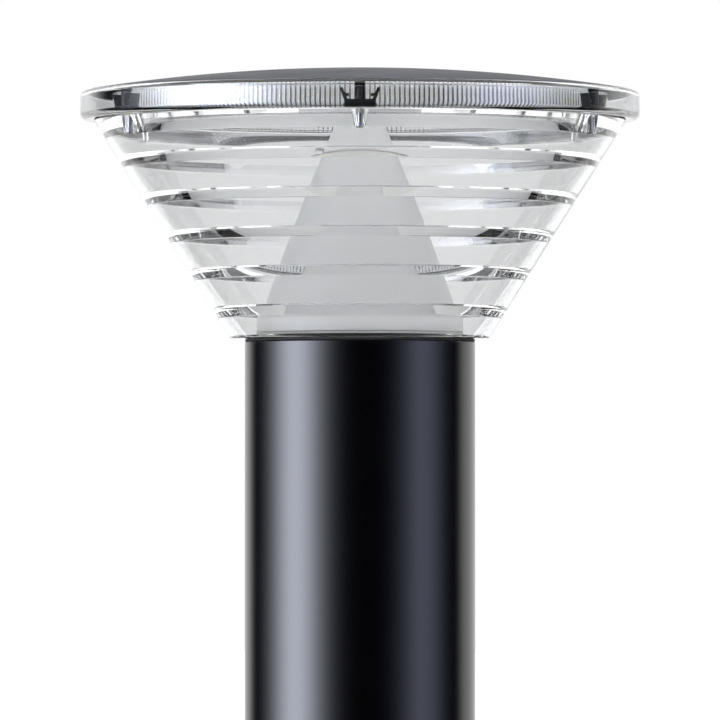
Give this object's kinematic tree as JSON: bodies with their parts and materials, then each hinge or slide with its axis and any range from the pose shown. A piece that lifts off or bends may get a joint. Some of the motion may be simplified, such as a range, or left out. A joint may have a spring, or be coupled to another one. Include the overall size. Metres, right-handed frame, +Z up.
{
  "type": "bollard light",
  "caption": "Bollard light: a round black post on a base flange, with a clear stepped conical diffuser round a white reflector cone, a ribbed clear rim and a shallow domed cap.",
  "frame": {"origin": "centre of the base flange's underside, on the ground", "axes": "+Z up along the post; -Y is the front; the service door faces +Y"},
  "size_m": [0.34, 0.34, 1],
  "materials": {
    "black_powder_coat": "satin black powder coat",
    "black_casting": "fine-textured black powder coat on cast aluminium",
    "zinc_plated_steel": "dull zinc plating",
    "stainless_steel": "plain stainless steel",
    "black_oxide_steel": "black oxide",
    "grey_plastic": "moulded grey plastic",
    "white_plastic": "moulded white plastic",
    "black_plastic": "moulded black plastic",
    "black_rubber": "matt black",
    "earth_sheath": "green and yellow sheath",
    "clear_silicone": "translucent silicone",
    "brass": "plain brass",
    "reflector_white": "satin white paint on spun aluminium",
    "clear_polycarbonate": "clear moulded polycarbonate, polished",
    "cap_grey": "satin blue-grey powder coat",
    "aluminium": "milled aluminium",
    "board_white": "white solder resist",
    "phosphor": "yellow phosphor over the light chips"
  },
  "bodies": {
    "bollard": {"post_tube": "black_powder_coat", "base_flange": "black_casting", "head_base": "black_casting", "door_frame": "zinc_plated_steel", "gear_tray": "zinc_plated_steel", "post_fixing_screw_1": "stainless_steel", "post_fixing_screw_2": "stainless_steel", "post_fixing_screw_3": "stainless_steel", "post_fixing_screw_4": "stainless_steel", "tray_screw_left": "stainless_steel", "tray_screw_right": "stainless_steel", "driver_screw_lower": "stainless_steel", "driver_screw_upper": "stainless_steel", "reflector_screw_1": "stainless_steel", "reflector_screw_2": "stainless_steel", "reflector_screw_3": "stainless_steel", "spreader_screw_1": "stainless_steel", "spreader_screw_2": "stainless_steel", "spreader_screw_3": "stainless_steel", "cap_screw_1": "stainless_steel", "cap_screw_2": "stainless_steel", "cap_screw_3": "stainless_steel", "cap_screw_4": "stainless_steel", "cap_screw_5": "stainless_steel", "cap_screw_6": "stainless_steel", "head_set_screw_right": "black_oxide_steel", "head_set_screw_left": "black_oxide_steel", "terminal_box": "grey_plastic", "terminal_box_lid": "grey_plastic", "terminal_block": "white_plastic", "led_driver": "white_plastic", "fuse_carrier": "black_plastic", "mains_gland": "black_plastic", "outlet_gland": "black_plastic", "cap_clip_1": "black_plastic", "cap_clip_2": "black_plastic", "cap_clip_3": "black_plastic", "cap_clip_4": "black_plastic", "cap_clip_5": "black_plastic", "cap_clip_6": "black_plastic", "lead_grommet": "black_rubber", "post_top_gasket": "black_rubber", "cap_gasket": "black_rubber", "driver_lead": "black_rubber", "head_lead": "black_rubber", "earth_lead": "earth_sheath", "diffuser_gasket": "clear_silicone", "earth_stud": "brass", "reflector": "reflector_white", "upper_reflector": "reflector_white", "diffuser": "clear_polycarbonate", "rim_ring": "clear_polycarbonate", "cap": "cap_grey", "heat_spreader": "aluminium", "led_board": "board_white", "led_ring": "phosphor"},
    "service_door": {"door_panel": "black_powder_coat", "door_gasket": "black_rubber", "door_screw_lower": "stainless_steel", "door_screw_upper": "stainless_steel"}
  },
  "joints": [
    {"name": "service_door_lift_off", "type": "slide", "parent": "bollard", "child": "service_door", "axis": [0, 1, 0], "range_m": [0, 0.12]}
  ]
}
